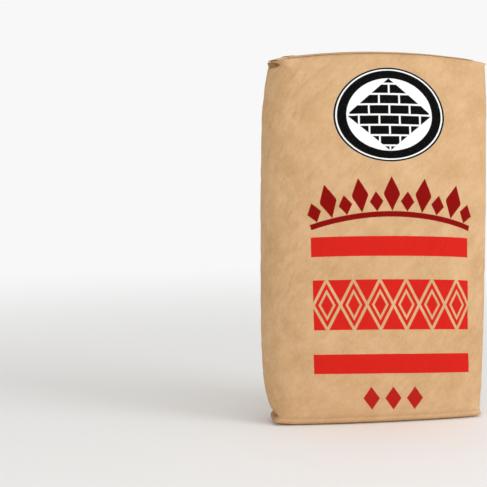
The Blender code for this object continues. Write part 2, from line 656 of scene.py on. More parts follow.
@dataclass(frozen=True)
class Noise:
    """Soft random values from about -0.5 to 0.5 over a surface, in patches of a size in metres.

    The patches are turned about the Y axis, and then drawn out along each axis by the stretch.
    """

    size: float
    detail: float = 2.0
    roughness: float = 0.5
    stretch: Triple = (1.0, 1.0, 1.0)
    degrees: float = 0.0

    def on(self, wires: Wiring) -> Signal:
        """The values in a material.

        Args:
            wires: The material's wiring.

        Returns:
            The values.
        """
        place = wires.place()
        if self.degrees:
            place = wires.out("ShaderNodeVectorRotate", {
                "Vector": place, "Axis": (0.0, 1.0, 0.0), "Angle": math.radians(self.degrees)
            })
        scaled = wires.vector("MULTIPLY", place, tuple(1 / (self.size * s) for s in self.stretch))
        feeds = {"Vector": scaled, "Scale": 1.0, "Detail": self.detail,
                 "Roughness": self.roughness}
        return Signal(wires.out("ShaderNodeTexNoise", feeds)) - 0.5


class Ink(Enum):
    """The printing inks, as linear colours."""

    RED = (0.620, 0.0155, 0.0095)
    MIDDLE_RED = (0.450, 0.0145, 0.0085)
    DARK_RED = (0.236, 0.002, 0.001)
    WHITE = (0.900, 0.900, 0.890)
    BLACK = (0.001, 0.001, 0.001)


@dataclass(frozen=True)
class Spot:
    """A place on the print: x to the right and y up, in metres on the paper.

    The outlines are round the origin, with half sizes. Distances are below zero inside them.
    """

    x: Signal
    y: Signal

    def lozenge(self, half: Pair) -> Signal:
        """The distance from a lozenge's outline."""
        slope = half[0] * half[1] / math.hypot(*half)
        return (self.x.size() * (1 / half[0]) + self.y.size() * (1 / half[1]) - 1.0) * slope

    def oval(self, half: Pair) -> Signal:
        """About the distance from an oval's outline."""
        across, up = self.x * (1 / half[0]), self.y * (1 / half[1])
        return ((across * across + up * up).math("SQRT") - 1.0) * min(half)

    def bricks(self, brick: Pair, joint: float) -> Signal:
        """The distance from the outline of a brick in a running bond.

        Args:
            brick: The length and height of a brick with its joint.
            joint: The width of a joint.

        Returns:
            The distance.
        """
        column, row = self.x * (1 / brick[0]), self.y * (1 / brick[1])
        shift = row.math("FLOOR").math("FLOORED_MODULO", 2.0) * 0.5
        across = ((column + shift).math("FRACT") - 0.5).size() * brick[0]
        up = (row.math("FRACT") - 0.5).size() * brick[1]
        return (across - (brick[0] - joint) / 2).most(up - (brick[1] - joint) / 2)

    def in_cell(self, width: float, start: float = 0.5) -> "Spot":
        """The place counted from the middle of its cell, in a row of cells of one width."""
        return Spot(((self.x * (1 / width) + start).math("FRACT") - 0.5) * width, self.y)


@dataclass(frozen=True)
class Plate:
    """A rectangle of the print, by its middle and its half sizes on the paper in metres."""

    middle: Pair
    half: Pair

    def local(self, spot: Spot) -> Spot:
        """A place, counted from the rectangle's middle."""
        return Spot(spot.x - self.middle[0], spot.y - self.middle[1])

    def block(self, spot: Spot) -> Signal:
        """The distance from the rectangle's outline, below zero inside."""
        local = self.local(spot)
        return (local.x.size() - self.half[0]).most(local.y.size() - self.half[1])


@dataclass(frozen=True)
class FacePrint:
    """The print on the front: plain bars, a roundel, an arched row, a frieze and marks.

    Places are measured on the paper, from the middle of the front and up from the base. A line
    is given by its distance from the outline inwards and its half width.
    """

    upper_bar: Plate = Plate((-0.0009, 0.3118), (0.1406, 0.0172))
    lower_bar: Plate = Plate((-0.0004, 0.1063), (0.1418, 0.0173))
    roundel: Plate = Plate((0.0, 0.5367), (0.0984, 0.0800))
    roundel_rim: float = 0.0185
    roundel_line: Pair = (0.0040, 0.0011)
    roundel_core: float = 0.77
    brick: Pair = (0.036, 0.0175)
    joint: float = 0.0030
    frieze: Plate = Plate((0.0, 0.2102), (0.1400, 0.0438))
    frieze_cells: int = 6
    frieze_outline: float = 0.0024
    frieze_line: Pair = (0.0095, 0.0019)
    arch_middle: Pair = (0.001, -0.132)
    arch_radius: float = 0.529
    arch_half_height: float = 0.030
    arch_half_length: float = 0.153
    arch_cells: int = 11
    arch_bar: float = 0.0048
    # The lozenges of the arch take turns: half sizes as shares of a cell and of the half height
    tall_half: Pair = (0.54, 1.0)
    small_half: Pair = (0.44, 0.58)
    small_drop: float = 0.26
    marks: Plate = Plate((-0.002, 0.0445), (0.060, 0.021))
    mark_count: int = 3
    mark_half: float = 0.38
    # The print leans and fans a little on the paper
    lean: float = 0.0285
    lean_shift: float = 0.0044
    fan: float = 0.045
    fan_level: float = 0.640
    # The softness of the ink's edges, how far they wander, and where the ink is thin
    edge: float = 0.0005
    wander: Noise = Noise(0.003)
    wander_reach: float = 0.0006
    wear: Noise = Noise(0.0022, 3.0, 0.7)
    wear_from: Pair = (-0.28, -0.10)
    thin: float = 0.93

    def inside(self, distance: Signal) -> Signal:
        """A mask that is 1 where a distance from an outline is below zero."""
        return distance.ramp(-self.edge, self.edge, 1.0, 0.0)

    @staticmethod
    def line(distance: Signal, line: Pair) -> Signal:
        """How far a place lies outside a line that runs along an outline."""
        return (distance + line[0]).size() * -1.0 + line[1]

    def squared(self, spot: Spot) -> Spot:
        """The place on the printing plate of a place on the paper."""
        across = spot.y * self.lean - (self.lean_shift + self.lean * self.roundel.middle[1])
        return Spot(spot.x + across,
                    spot.y + spot.x * (spot.y * -1.0 + self.fan_level) * self.fan)

    def red(self, spot: Spot) -> Signal:
        """The mask of the bars and the frieze of lozenges.

        Args:
            spot: The place.

        Returns:
            The mask.
        """
        bars = self.upper_bar.block(spot).least(self.lower_bar.block(spot))
        width = 2 * self.frieze.half[0] / self.frieze_cells
        local = self.frieze.local(spot).in_cell(width, 0.5 * (self.frieze_cells % 2))
        cell = local.lozenge((width / 2, self.frieze.half[1]))
        lines = self.line(cell, (0.0, self.frieze_outline)).most(self.line(cell, self.frieze_line))
        return self.inside(bars.least(lines.most(self.frieze.block(spot))))

    def dark_red(self, spot: Spot) -> Signal:
        """The mask of the arched row of lozenges over its bar.

        Args:
            spot: The place.

        Returns:
            The mask.
        """
        x, y = spot.x - self.arch_middle[0], spot.y - self.arch_middle[1]
        away = (x * x + y * y).math("SQRT") - self.arch_radius
        along = x.math("ARCTAN2", y) * self.arch_radius
        width, height = 2 * self.arch_half_length / self.arch_cells, self.arch_half_height
        second = (along * (1 / width) + 0.5).math("FLOOR").math("FLOORED_MODULO", 2.0)
        cell = Spot(along, away).in_cell(width)
        tall, small = (
            Spot(cell.x, away + drop).lozenge((width * half[0], height * half[1]))
            for drop, half in ((-self.arch_bar, self.tall_half),
                               (height * self.small_drop, self.small_half))
        )
        bar = (away + height).size() - self.arch_bar
        row = (tall + second).least(small + (second * -1.0 + 1.0)).least(bar)
        return self.inside(row.most(along.size() - self.arch_half_length))

    def middle_red(self, spot: Spot) -> Signal:
        """The mask of the row of marks near the base.

        Args:
            spot: The place.

        Returns:
            The mask.
        """
        local, half = self.marks.local(spot), self.marks.half
        width = 2 * half[0] / self.mark_count
        marks = local.in_cell(width).lozenge((width * self.mark_half, half[1]))
        return self.inside(marks.most(local.x.size() - half[0]))

    def roundel_inks(self, spot: Spot) -> tuple[Signal, Signal]:
        """The masks of the roundel: a brick lozenge in a ringed oval.

        Args:
            spot: The place.

        Returns:
            The black and the white mask.
        """
        local, half = self.roundel.local(spot), self.roundel.half
        oval = local.oval(half)
        ring = oval.most(oval * -1.0 - self.roundel_rim).most(self.line(oval, self.roundel_line))
        core = local.lozenge((half[0] * self.roundel_core, half[1] * self.roundel_core))
        wall = core.most(local.bricks(self.brick, self.joint))
        return self.inside(ring.least(wall)), self.inside(oval)

    def layers(self, spot: Spot) -> list[tuple[Ink, Signal]]:
        """The inks with their masks, in the order of printing."""
        black, white = self.roundel_inks(spot)
        return [(Ink.RED, self.red(spot)), (Ink.MIDDLE_RED, self.middle_red(spot)),
                (Ink.DARK_RED, self.dark_red(spot)), (Ink.WHITE, white), (Ink.BLACK, black)]


@dataclass(frozen=True)
class KraftFinish:
    """Brown sack paper: cloudy, crumpled and faintly fibrous."""

    name: str
    colour: Triple
    roughness: float = 0.80
    gloss: float = 0.08
    # Clouds, streaks, fibres and flecks, with how much each lightens and darkens the paper
    changes: tuple[tuple[Noise, float], ...] = (
        (Noise(0.060, 3.0, 0.55), 0.24), (Noise(0.020, 2.0, 0.6, (2.6, 1.0, 0.9), 38), 0.22),
        (Noise(0.0012, 1.0, 0.5, (1.0, 1.0, 6.0)), 0.18), (Noise(0.0065, 2.0, 0.6), 0.14),
    )
    crumple_shade: float = 0.045
    # How much of a change shows in red, green and blue, and what painted fold shade takes from each
    chroma: Triple = (1.0, 1.35, 2.00)
    fold_shade: Triple = (0.42, 0.50, 0.56)
    # Fine crackle, grain and long creases
    crackle_size: float = 0.020
    crackle_depth: float = 0.00028
    crackle_softness: float = 0.25
    crackle_bend: Noise = Noise(0.028)
    crackle_way: Triple = (0.030, 0.022, -0.026)
    grain: Noise = Noise(0.004, 3.0, 0.6)
    grain_depth: float = 0.00012
    crease: Noise = Noise(0.024, 2.0, 0.5, (4.0, 1.0, 1.0), 54)
    crease_depth: float = 0.0011
    crease_reach: float = 0.15
    crease_zones: Noise = Noise(0.1008, 1.0)
    crease_from: Pair = (-0.10, 0.08)
    face_print: FacePrint | None = None

    def paper_colour(self, wires: Wiring) -> Socket:
        """The paper's colour, lighter and darker over its surface, with painted shade in its folds.

        Args:
            wires: The material's wiring.

        Returns:
            The colour.
        """
        # The crumple marks, and the fold attribute that carries the painted shade
        crumple, fold = (
            Signal(wires.add("ShaderNodeAttribute", attribute_name=name).outputs["Fac"])
            for name in ("crumple", "fold")
        )
        level = crumple * self.crumple_shade + 1.0
        for noise, change in self.changes:
            level = level + noise.on(wires) * change
        tint = wires.combine("Color", *(level * c - (c - 1) for c in self.chroma))
        # Painted shade: the fold attribute darkens the colour where shade falls in the folds
        shade = wires.combine("Color", *(fold * -c + 1.0 for c in self.fold_shade))
        return wires.vector("MULTIPLY", wires.vector("MULTIPLY", tint, self.colour), shade)

    def relief(self, wires: Wiring) -> Socket:
        """The normals of small creases and of the paper's grain.

        Args:
            wires: The material's wiring.

        Returns:
            The normal.
        """
        bend = self.crackle_bend.on(wires)
        offset = wires.combine("XYZ", *(bend * way for way in self.crackle_way))
        cells = wires.out("ShaderNodeTexVoronoi", {
            "Vector": wires.vector("ADD", wires.place(), offset), "Scale": 1 / self.crackle_size,
            "Smoothness": self.crackle_softness
        }, feature="SMOOTH_F1")
        zones = self.crease_zones.on(wires).ramp(*self.crease_from)
        crease = self.crease.on(wires).size().ramp(0.0, self.crease_reach, 1.0, 0.0) * zones
        height = Signal(cells) * self.crackle_depth + self.grain.on(wires) * self.grain_depth
        return wires.out("ShaderNodeBump", {
            "Height": height - crease * self.crease_depth, "Distance": 1.0, "Strength": 1.0
        })

    def material(self) -> bpy.types.Material:
        """The finished material.

        Returns:
            The material.
        """
        material = bpy.data.materials.new(self.name)
        material.use_nodes = True
        wires = Wiring(material.node_tree)
        colour = self.paper_colour(wires)
        if self.face_print:
            colour = self.printed(wires, colour)
        wires.feed(wires.tree.nodes["Principled BSDF"], {
            "Base Color": colour, "Roughness": self.roughness, "Specular IOR Level": self.gloss,
            "Normal": self.relief(wires)
        })
        return material

    def printed(self, wires: Wiring, colour: Socket) -> Socket:
        """The paper's colour with the inks of the face print on it.

        Args:
            wires: The material's wiring.
            colour: The paper's colour.

        Returns:
            The new colour.
        """
        design = self.face_print
        sheet = wires.out("ShaderNodeUVMap", uv_map="paper")
        wander = design.wander.on(wires) * design.wander_reach
        s, t = (Signal(way) + wander
                for way in wires.add("ShaderNodeSeparateXYZ", {0: sheet}).outputs[:2])
        worn = design.wear.on(wires).ramp(*design.wear_from, design.thin, 1.0)
        for ink, mask in design.layers(design.squared(Spot(s, t))):
            feeds = {0: mask * worn, 6: colour, 7: (*ink.value, 1.0)}
            colour = wires.add("ShaderNodeMix", feeds, data_type="RGBA").outputs[2]
        return colour


@dataclass(frozen=True)
class Lamp:
    """A square soft light that looks at the middle of the sack."""

    name: str
    place: Triple
    side: float
    watts: float
    colour: Triple
    aim: Triple = (0.0, 0.0, 0.32)

    def build(self) -> None:
        """Hang the light."""
        light = bpy.data.lights.new(self.name, "AREA")
        assign(light, energy=self.watts, size=self.side, color=self.colour)
        aim = Vector(self.aim) - Vector(self.place)
        turn = aim.to_track_quat("-Z", "Y").to_euler()
        assign(add_object(self.name, light), location=self.place, rotation_euler=turn)


@dataclass
class Studio:
    """The pale floor, the soft lights and the camera."""

    eye: Triple = (-0.8174, -2.6824, 0.5641)
    turn_degrees: float = 12.301
    tilt_degrees: float = 5.2785
    focal_pixels: float = 1612.2
    image_pixels: float = 487.0
    sensor_mm: float = 36.0
    sky: tuple[float, float, float, float] = (0.938, 0.938, 0.938, 1.0)
    sky_light: float = 0.62
    floor_radius: float = 9.0
    floor_sides: int = 96
    floor_colour: Triple = (0.90, 0.895, 0.885)
    floor_roughness: float = 0.7
    floor_gloss: float = 0.2
    floor_fade: Pair = (0.45, 2.6)
    lamps: tuple[Lamp, ...] = (
        Lamp("key_light", (2.6, -2.4, 1.6), 1.8, 56.5, (0.97, 1.01, 1.06)),
        Lamp("top_light", (0.6, -0.8, 3.2), 2.4, 16.5, (1.0, 0.97, 0.90)),
        Lamp("fill_light", (-1.8, -3.2, 1.2), 2.2, 26.0, (1.0, 0.955, 0.87)),
    )

    def camera(self) -> None:
        """Set up the camera that looks at the sack's left front."""
        lens = bpy.data.cameras.new("camera")
        lens.sensor_width = self.sensor_mm
        lens.lens = self.focal_pixels / self.image_pixels * lens.sensor_width
        pitch, turn = math.radians(90 - self.tilt_degrees), math.radians(-self.turn_degrees)
        item = add_object("camera", lens)
        assign(item, location=self.eye, rotation_euler=Euler((pitch, 0.0, turn)))
        bpy.context.scene.camera = item

    def world(self) -> None:
        """Set up an even white surrounding, which lights the sack softly from all sides."""
        world = bpy.data.worlds.new("studio")
        bpy.context.scene.world = world
        world.use_nodes = True
        wires = Wiring(world.node_tree)
        back = wires.tree.nodes["Background"]
        wires.feed(back, {"Color": (1.0, 1.0, 1.0, 1.0), "Strength": self.sky_light})
        seen = wires.out("ShaderNodeBackground", {"Color": self.sky})
        path = wires.add("ShaderNodeLightPath").outputs["Is Camera Ray"]
        mix = wires.out("ShaderNodeMixShader", {"Fac": path, 1: back.outputs[0], 2: seen})
        wires.feed(wires.tree.nodes["World Output"], {"Surface": mix})

    def floor(self) -> None:
        """Lay a round pale floor that fades into the white surrounding far from the sack."""
        shape = bmesh.new()
        bmesh.ops.create_circle(shape, cap_ends=True, radius=self.floor_radius,
                                segments=self.floor_sides)
        item = add_shape("floor", shape)
        material = bpy.data.materials.new("floor")
        material.use_nodes = True
        wires = Wiring(material.node_tree)
        shader = wires.tree.nodes["Principled BSDF"]
        wires.feed(shader, {
            "Base Color": (*self.floor_colour, 1.0), "Roughness": self.floor_roughness,
            "Specular IOR Level": self.floor_gloss
        })
        glow = wires.out("ShaderNodeEmission", {"Color": self.sky})
        reach = wires.add("ShaderNodeVectorMath", {0: wires.place()}, operation="LENGTH")
        fade = Signal(reach.outputs["Value"]).ramp(*self.floor_fade)
        mix = wires.out("ShaderNodeMixShader", {"Fac": fade, 1: shader.outputs[0], 2: glow})
        wires.feed(wires.tree.nodes["Material Output"], {"Surface": mix})
        item.data.materials.append(material)

    def build(self) -> None:
        """Set up the floor, the surroundings, the lights and the camera."""
        bpy.context.scene.view_settings.view_transform = "Standard"
        self.world()
        self.floor()
        for lamp in self.lamps:
            lamp.build()
        self.camera()


@dataclass(frozen=True)
class Wave:
    """A standing wave over the paper: the product of two sines, each by its way and start."""

    first: tuple[Triple, float]
    second: tuple[Triple, float]

    def at(self, points: Array) -> Array:
        """Its values at points, from -1 to 1."""
        sines = [np.sin(points @ np.array(way) + start) for way, start in (self.first, self.second)]
        return sines[0] * sines[1]


@dataclass(frozen=True)
class Crumpling:
    """How the paper buckles between the filling and its own surplus length."""

    growth: float = 0.010
    stiffness: float = 100.0
    shear_stiffness: float = 100.0 / 3
    bending: float = 40.0
    damping: float = 8.0
    mass: float = 0.12
    hold: float = 0.37
    hold_change: float = 0.12
    hold_waves: tuple[Wave, ...] = (
        Wave(((17.3, 0.0, 23.1), 1.7), ((0.0, 29.7, -13.9), 0.4)),
        Wave(((41.3, 0.0, -19.7), 2.9), ((0.0, 11.3, 37.1), 5.2)),
    )
    top_hold: float = 0.86
    hold_spring: float = 1.0
    loosening: Pair = (0.010, 0.060)
    surplus_growing: Pair = (0.004, 0.045)
    surplus_change: float = 0.30
    surplus_wave: Wave = Wave(((13.1, 0.0, -21.7), 0.9), ((9.1, 25.3, 17.9), 2.2))
    frames: int = 16
    quality: int = 6
    cap: float = 0.003

    def holds(self, points: Array, distance: Array, on_wall: Array, middle: float) -> Array:
        """How firmly the filling and the glued ends hold each point of the paper.

        Args:
            points: The points of the smooth sack.
            distance: How far each point lies from the nearer end.
            on_wall: Whether each point lies on the wall and not on an end.
            middle: Half the height of the sack.

        Returns:
            A weight from 0 to 1 for each point.
        """
        waves = sum(wave.at(points) for wave in self.hold_waves) / len(self.hold_waves)
        loose = self.hold + self.hold_change * waves
        near = 1 - smooth_step(*self.loosening, distance)
        ends = np.where(points[:, 2] > middle, self.top_hold, 1.0)
        return np.where(on_wall, loose + (1 - loose) * near ** 2, ends)

    def surplus(self, points: Array, distance: Array) -> Array:
        """How much surplus length the paper has at points, from 0 to 1."""
        level = 1 - self.surplus_change + self.surplus_change * self.surplus_wave.at(points)
        return smooth_step(*self.surplus_growing, distance) * level


@dataclass(frozen=True)
class Crumples:
    """The paper's small crumples: soft dents, and facets that are bent along with them.

    Both are marked on the paper, for its shade: a pair for the facets and the dents.
    """

    dent_size: float = 0.055
    dent_depth: float = 0.0010
    facet_size: float = 0.022
    facet_depth: float = 0.0011
    facet_middle: float = 0.42
    facet_softness: float = 0.35
    facet_bend: float = 0.030
    facet_bend_scale: float = 1.7
    marks: Pair = (-1.6, 0.8)
    seed: float = 3.7

    def tree(self) -> Tree:
        """The tree that adds the crumples to the buckled sack where it is soft.

        Returns:
            The tree.
        """
        wires = Wiring.begin("crumpled_paper", {
            "Geometry": ("Paper",),
            "Float": ("Dent size", "Dent depth", "Facet size", "Facet depth", "Seed"),
            "Material": ("Finish",),
        })
        given = wires.add("NodeGroupInput").outputs
        dent_size, dent_depth, facet_size, facet_depth = map(Signal, given[1:5])
        dent_scale = dent_size.math("POWER", -1.0)
        start = wires.combine("XYZ", given["Seed"], 0.0, given["Seed"])
        moved = wires.vector("ADD", wires.out("GeometryNodeInputPosition"), start)
        dents = wires.out("ShaderNodeTexNoise", {
            "Vector": moved, "Scale": dent_scale, "Detail": 2.0, "Roughness": 0.5
        })
        bend = wires.add("ShaderNodeTexNoise", {
            "Vector": moved, "Scale": dent_scale * self.facet_bend_scale, "Detail": 1.0
        }).outputs["Color"]
        facets = wires.out("ShaderNodeTexVoronoi", {
            "Vector": wires.vector("MULTIPLY_ADD", bend, (self.facet_bend,) * 3, moved),
            "Scale": facet_size.math("POWER", -1.0), "Smoothness": self.facet_softness
        }, feature="SMOOTH_F1")
        dent, facet = (Signal(dents) - 0.5) * 2.0, Signal(facets) - self.facet_middle
        height = (dent * dent_depth + facet * facet_depth) * wires.stored("soft")
        away = wires.vector("SCALE", wires.out("GeometryNodeInputNormal"), Scale=height)
        shaped = wires.out("GeometryNodeSetPosition", {"Geometry": given["Paper"], "Offset": away})
        mark = facet * self.marks[0] + dent * self.marks[1]
        return wires.end(wires.store(shaped, "crumple", mark), given["Finish"])


@dataclass
class PaperSack:
    """The paper tube, filled and crumpled, with its printed face."""

    form: SackForm
    crumpling: Crumpling = Crumpling()
    crumples: Crumples = Crumples()
    steps: tuple[int, int, int] = (56, 24, 92)
    fold_crease: float = 0.6
    soft_from: Pair = (0.0, 0.03)
    soft_top: float = 0.30
    map_steps: int = 401
    colour: Triple = (0.615, 0.388, 0.204)
    item: Item | None = field(default=None, init=False)

    def cage(self) -> Item:
        """The unit box, cut into even steps, with the side folds marked as creases.

        Returns:
            The cage, which becomes the sack.
        """
        shape = bmesh.new()
        bmesh.ops.create_cube(shape, size=2.0)
        for axis, steps in enumerate(self.steps):
            across = [i for i in range(3) if i != axis]
            edges = [
                edge for edge in shape.edges
                if all(abs(edge.verts[0].co[i] - edge.verts[1].co[i]) < TOLERANCE for i in across)
            ]
            bmesh.ops.subdivide_edges(shape, edges=edges, cuts=steps - 1, use_grid_fill=True)
        bmesh.ops.recalc_face_normals(shape, faces=shape.faces)
        creases = shape.edges.layers.float.new("crease_edge")
        for edge in shape.edges:
            if all(min(abs(end.co.x), abs(end.co.z)) > EDGE for end in edge.verts):
                edge[creases] = self.fold_crease
        return add_shape("sack_paper", shape)

    def buckle(self, box: Array, smooth_points: Array) -> None:
        """Let the paper buckle as a cloth that is longer than the filling it lies on.

        Args:
            box: The points of the unit box.
            smooth_points: The points of the smooth sack.
        """
        rules, item, scene = self.crumpling, self.item, bpy.context.scene
        distance, on_wall = self.form.zones(box)
        held = rules.holds(smooth_points, distance, on_wall, self.form.height / 2)
        surplus = rules.surplus(smooth_points, distance) * on_wall
        cloth = item.modifiers.new("buckle", "CLOTH")
        assign(
            cloth.settings, quality=rules.quality, mass=rules.mass,
            tension_stiffness=rules.stiffness, compression_stiffness=rules.stiffness,
            shear_stiffness=rules.shear_stiffness, bending_stiffness=rules.bending,
            shrink_min=0.0, shrink_max=-rules.growth, pin_stiffness=rules.hold_spring,
            vertex_group_mass=weigh(item, "held", held),
            vertex_group_shrink=weigh(item, "surplus", surplus),
        )
        for kind in ("tension", "compression", "shear", "bending"):
            setattr(cloth.settings, f"{kind}_damping", rules.damping)
        cloth.settings.effector_weights.gravity = 0.0
        cloth.collision_settings.use_collision = False
        assign(cloth.point_cache, frame_start=1, frame_end=rules.frames)
        for frame in range(1, rules.frames + 1):
            scene.frame_set(frame)
        settle(item)
        scene.frame_set(1)
        item.vertex_groups.clear()
        moved = read_points(item.data) - smooth_points
        size = np.linalg.norm(moved, axis=1, keepdims=True)
        limited = moved / np.sqrt(1 + (size / rules.cap) ** 2)
        write_points(item.data, smooth_points + limited)
        log.info("buckling: %.2f mm on average, %.2f mm at most",
                 1000 * float(np.linalg.norm(limited, axis=1).mean()), 1000 * float(size.max()))

    def arc(self, across: Array, deep: Array) -> Array:
        """The way along the belly's outline, from the middle of a line of places.

        Args:
            across: The places' u.
            deep: The places' v.

        Returns:
            The way to each place, in metres.
        """
        form = self.form
        scale = form.rounding(across, deep, form.belly_squareness)
        line = np.column_stack((
            across * scale * form.belly_width / 2, deep * scale * form.belly_depth / 2
        ))
        way = np.cumsum(np.linalg.norm(np.diff(line, axis=0), axis=1))
        way = np.concatenate(([0.0], way))
        return way - way[len(way) // 2]

    def paper_map(self, mesh: Mesh, box: Array) -> None:
        """Give each face its place on the paper: the way round from the front's middle, and up.

        Args:
            mesh: The cage's mesh.
            box: The points of the unit box.
        """
        steps = np.linspace(-1, 1, self.map_steps)
        ones = np.ones_like(steps)
        front, flank = self.arc(steps, -ones), self.arc(ones, steps)
        loops = np.empty(len(mesh.loops), np.int32)
        mesh.loops.foreach_get("vertex_index", loops)
        corner = box[loops]
        middle = np.repeat(corner.reshape(-1, 4, 3).mean(axis=1), 4, axis=0)
        across = np.interp(corner[:, 0], steps, front)
        deep = np.interp(corner[:, 1], steps, flank)
        hand = np.sign(middle[:, 0])
        behind = hand * (2 * front[-1] + 2 * flank[-1]) - across
        walls = np.where(middle[:, 1] < 0, across, behind)
        sides = hand * (front[-1] + flank[-1] + deep)
        rise = self.form.rise(corner[:, 2])
        facing = np.argmax(np.abs(middle), axis=1)
        s = np.choose(facing, (sides, walls, corner[:, 0]))
        t = np.choose(facing, (rise, rise, corner[:, 1] + 2 * np.sign(middle[:, 2])))
        layer = mesh.uv_layers.new(name="paper")
        layer.data.foreach_set("uv", np.column_stack((s, t)).astype(np.float32).ravel())

    def build(self) -> None:
        """Make the sack."""
        self.item = self.cage()
        mesh = self.item.data
        box = read_points(mesh)
        self.paper_map(mesh, box)
        points = self.form.place(box)
        distance, on_wall = self.form.zones(box)
        ends = np.where(box[:, 2] > 0, self.soft_top, 0.0)
        # The fold attribute carries painted shade, which darkens the paper's colour in its folds
        store_number(mesh, "fold", self.form.shade(box))
        store_number(mesh, "soft", np.where(on_wall, smooth_step(*self.soft_from, distance), ends))
        write_points(mesh, points)
        self.buckle(box, points)
        finer = self.item.modifiers.new("finer", "SUBSURF")
        assign(finer, levels=1, render_levels=1, uv_smooth="NONE")
        settle(self.item)
        finish = KraftFinish("printed_kraft", self.colour, face_print=FacePrint())
        sizes = {**asdict(self.crumples), "finish": finish.material()}
        run_tree(self.item, self.crumples.tree(), sizes)
        self.item.data.shade_smooth()

    def declare(self) -> None:
        """Say what the finished sack stands for."""
        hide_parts("sack_body")
        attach(self.item, "root")


@dataclass(frozen=True)
class LaidSheet:
    """A sheet of paper that is laid on the sack and follows its surface.

    It is cut from its length and width: the bow narrows it towards its ends, round the bow line,
    and the taper shortens it towards its far edge. The fade is how much of its thickness the near
    edge loses.
    """

    length: float
    width: float
    middle: Triple
    along: Triple
    away: Triple
    gap: float
    thickness: float
    bow: float = 0.0
    bow_line: float = 0.0
    taper: float = 0.0
    fade: float = 0.0
    cell: float = 0.004

    @staticmethod
    def tree() -> Tree:
        """The tree that cuts a sheet, lays it on the sack and gives it its thickness.

        Returns:
            The tree.
        """
        wires = Wiring.begin("laid_sheet", {
            "Float": ("Length", "Width", "Bow", "Bow line", "Taper", "Fade", "Cell", "Gap",
                      "Thickness"),
            "Vector": ("Middle", "Turn", "Away"),
            "Object": ("Sack", "Under"),
            "Material": ("Finish",),
        })
        given = wires.add("NodeGroupInput").outputs
        length, width, bow, line, taper, fade, cell, gap, thickness = map(Signal, given[:9])
        grid = wires.out("GeometryNodeMeshGrid", {
            "Size X": length, "Size Y": width,
            "Vertices X": length.math("DIVIDE", cell) + 1.0,
            "Vertices Y": width.math("DIVIDE", cell) + 1.0,
        })
        flat = wires.out("GeometryNodeInputPosition")
        place = wires.add("ShaderNodeSeparateXYZ", {0: flat}).outputs
        x, y = Signal(place[0]), Signal(place[1])
        share = y.math("DIVIDE", width) + 0.5
        end = x.math("DIVIDE", length) * 2.0
        marked = wires.store(grid, "share", (share - 1.0) * fade + 1.0)
        cut = wires.combine("XYZ", x * (share * taper * -1.0 + 1.0),
                            y - (y - line) * end * end * bow)
        shaped = wires.out("GeometryNodeSetPosition", {"Geometry": marked, "Position": cut})
        moved = wires.out("GeometryNodeTransform", {
            "Geometry": shaped, "Translation": given["Middle"], "Rotation": given["Turn"]
        })
        below = wires.add("GeometryNodeJoinGeometry")
        for name in ("Under", "Sack"):
            info = wires.add("GeometryNodeObjectInfo", {"Object": given[name]})
            wires.feed(below, {0: info.outputs["Geometry"]})
        hit = wires.add("GeometryNodeRaycast", {
            "Target Geometry": below.outputs[0], "Ray Length": 1.0,
            "Ray Direction": wires.vector("SCALE", given["Away"], Scale=-1.0),
        }).outputs["Hit Position"]
        raised = wires.vector("ADD", hit, wires.vector("SCALE", given["Away"], Scale=gap))
        laid = wires.out("GeometryNodeSetPosition", {"Geometry": moved, "Position": raised})
        thick = wires.out("GeometryNodeExtrudeMesh", {
            "Mesh": laid, "Offset Scale": wires.stored("share") * thickness, "Individual": False
        }, mode="FACES")
        closed = wires.add("GeometryNodeJoinGeometry")
        for part in (wires.out("GeometryNodeFlipFaces", {0: laid}), thick):
            wires.feed(closed, {0: part})
        merged = wires.out("GeometryNodeMergeByDistance", {
            "Geometry": closed.outputs[0], "Distance": WELD
        })
        return wires.end(merged, given["Finish"])

    def lay(self, name: str, tree: Tree, under: list[Item], finish: bpy.types.Material) -> Item:
        """Make the sheet as an object of its own.

        Args:
            name: The object's name.
            tree: The laying tree.
            under: The sack, and what else the sheet covers.
            finish: The sheet's material.

        Returns:
            The sheet.
        """
        along, away = Vector(self.along), Vector(self.away)
        turn = Matrix((along, away.cross(along), away)).transposed().to_euler()
        item = add_object(name, bpy.data.meshes.new(name))
        run_tree(item, tree, {**asdict(self), "turn": tuple(turn), "sack": under[0],
                              "under": under[-1], "finish": finish})
        shade_paper(item.data)
        return item


